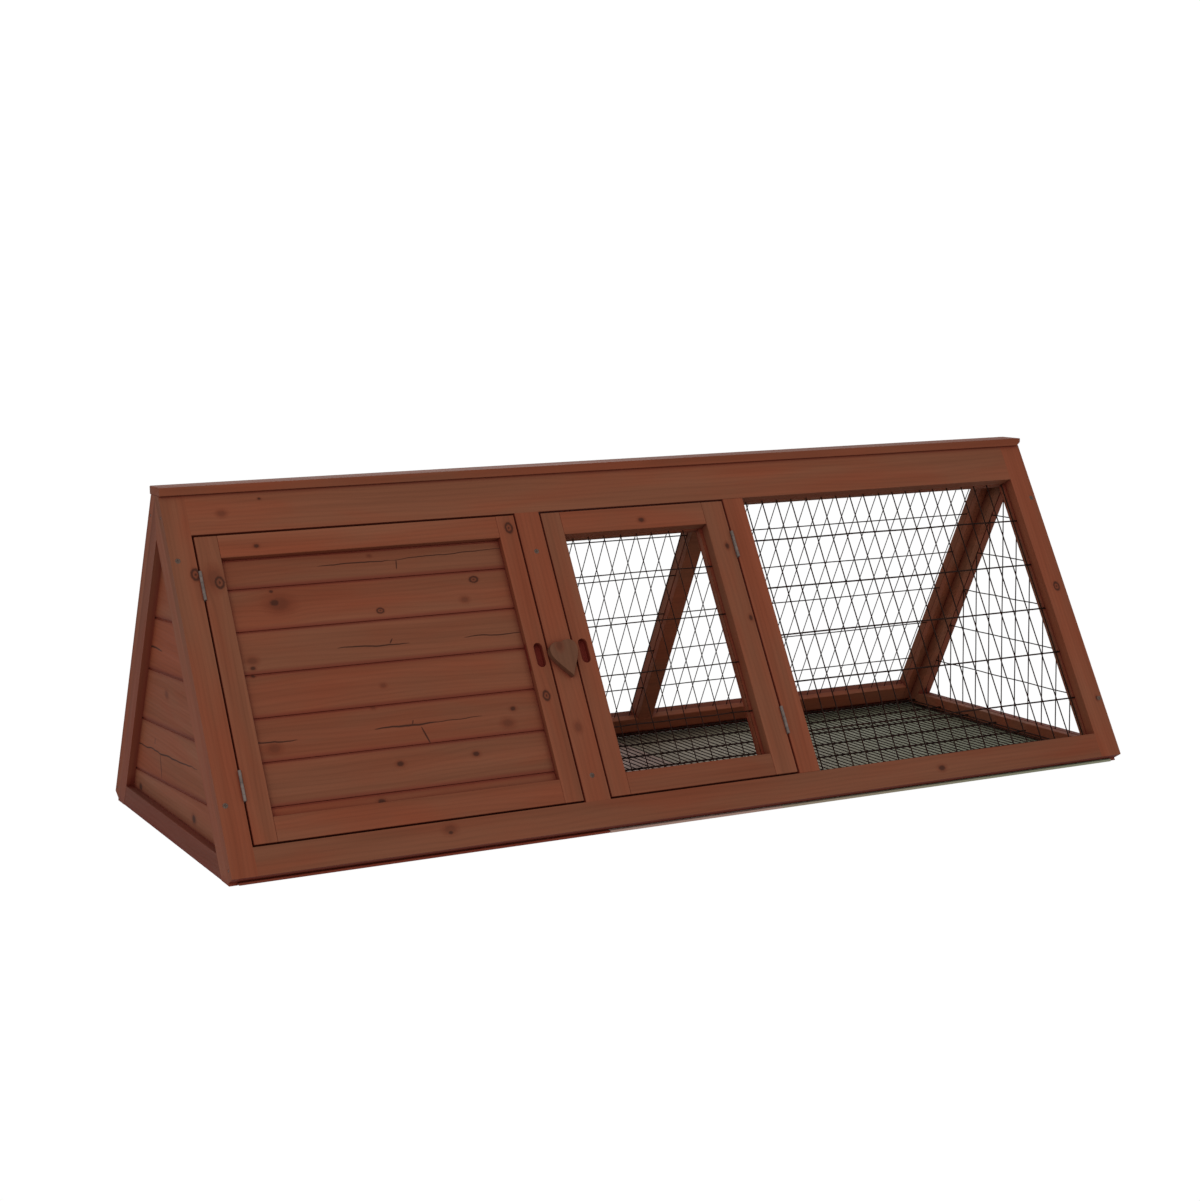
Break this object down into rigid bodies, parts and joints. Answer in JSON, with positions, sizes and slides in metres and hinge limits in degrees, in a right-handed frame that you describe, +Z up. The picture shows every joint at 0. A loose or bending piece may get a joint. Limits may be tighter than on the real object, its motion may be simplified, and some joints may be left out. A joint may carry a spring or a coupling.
{
  "type": "rabbit hutch",
  "caption": "Tent-shaped wooden rabbit hutch with a boarded sleeping end, a wire run, hinged front doors and a turning heart latch.",
  "frame": {"origin": "on the ground, below the middle of the ridge", "axes": "+X along the ridge towards the open wire end, -Y towards the side with the doors, +Z up"},
  "size_m": [1.24, 0.488, 0.4225],
  "materials": {
    "frame_wood": "stained brown, matt",
    "board_wood": "stained brown, matt",
    "ridge_wood": "stained brown, matt",
    "inner_wood": "stained brown, matt",
    "heart_wood": "stained olive brown, matt",
    "black_wire": "dark coated steel wire",
    "zinc_steel": "dull zinc",
    "floor_mat": "matt grey-green"
  },
  "bodies": {
    "hutch": {"back_battens": "frame_wood", "back_boards": "board_wood", "back_bottom_rail": "frame_wood", "back_left_stile": "frame_wood", "back_mesh": "black_wire", "back_mid_stile": "frame_wood", "back_partition_stile": "frame_wood", "back_right_stile": "frame_wood", "back_top_rail": "frame_wood", "fixed_hinge_leaves": "zinc_steel", "frame_nails": "zinc_steel", "frame_screws": "zinc_steel", "front_bottom_rail": "frame_wood", "front_left_stile": "frame_wood", "front_mid_stile": "frame_wood", "front_right_stile": "frame_wood", "front_top_rail": "frame_wood", "front_window_battens": "frame_wood", "front_window_mesh": "black_wire", "front_window_stile": "frame_wood", "hinge_pins": "zinc_steel", "left_end_back_leg": "frame_wood", "left_end_board_1": "board_wood", "left_end_board_2": "board_wood", "left_end_board_3": "board_wood", "left_end_board_4": "board_wood", "left_end_board_5": "board_wood", "left_end_bottom_rail": "frame_wood", "left_end_front_leg": "frame_wood", "partition": "inner_wood", "ridge_cap": "ridge_wood", "right_end_back_leg": "frame_wood", "right_end_battens": "frame_wood", "right_end_bottom_rail": "frame_wood", "right_end_front_leg": "frame_wood", "right_end_mesh": "black_wire", "run_floor_mat": "floor_mat", "run_floor_mesh": "black_wire", "sleeping_floor": "inner_wood"},
    "solid_door": {"solid_door_board_1": "board_wood", "solid_door_board_2": "board_wood", "solid_door_board_3": "board_wood", "solid_door_board_4": "board_wood", "solid_door_board_5": "board_wood", "solid_door_board_6": "board_wood", "solid_door_board_7": "board_wood", "solid_door_bottom_rail": "frame_wood", "solid_door_hinge_leaves": "zinc_steel", "solid_door_left_stile": "frame_wood", "solid_door_right_stile": "frame_wood", "solid_door_top_rail": "frame_wood"},
    "mesh_door": {"mesh_door_battens": "frame_wood", "mesh_door_bottom_rail": "frame_wood", "mesh_door_hinge_leaves": "zinc_steel", "mesh_door_left_stile": "frame_wood", "mesh_door_mesh": "black_wire", "mesh_door_right_stile": "frame_wood", "mesh_door_top_rail": "frame_wood"},
    "latch": {"latch_heart": "heart_wood", "latch_screw": "zinc_steel"}
  },
  "joints": [
    {"name": "solid_door_hinge", "type": "hinge", "parent": "hutch", "child": "solid_door", "pos_m": [-0.58875, -0.13434, 0.20693], "axis": [0, -0.4947, -0.8691], "range_deg": [0, 160]},
    {"name": "mesh_door_hinge", "type": "hinge", "parent": "hutch", "child": "mesh_door", "pos_m": [0.12075, -0.13434, 0.20693], "axis": [0, 0.4947, 0.8691], "range_deg": [0, 160]},
    {"name": "latch_turn", "type": "hinge", "parent": "hutch", "child": "latch", "pos_m": [-0.1607, -0.13418, 0.20338], "axis": [0, -0.8691, 0.4947], "range_deg": [-90, 90]}
  ]
}
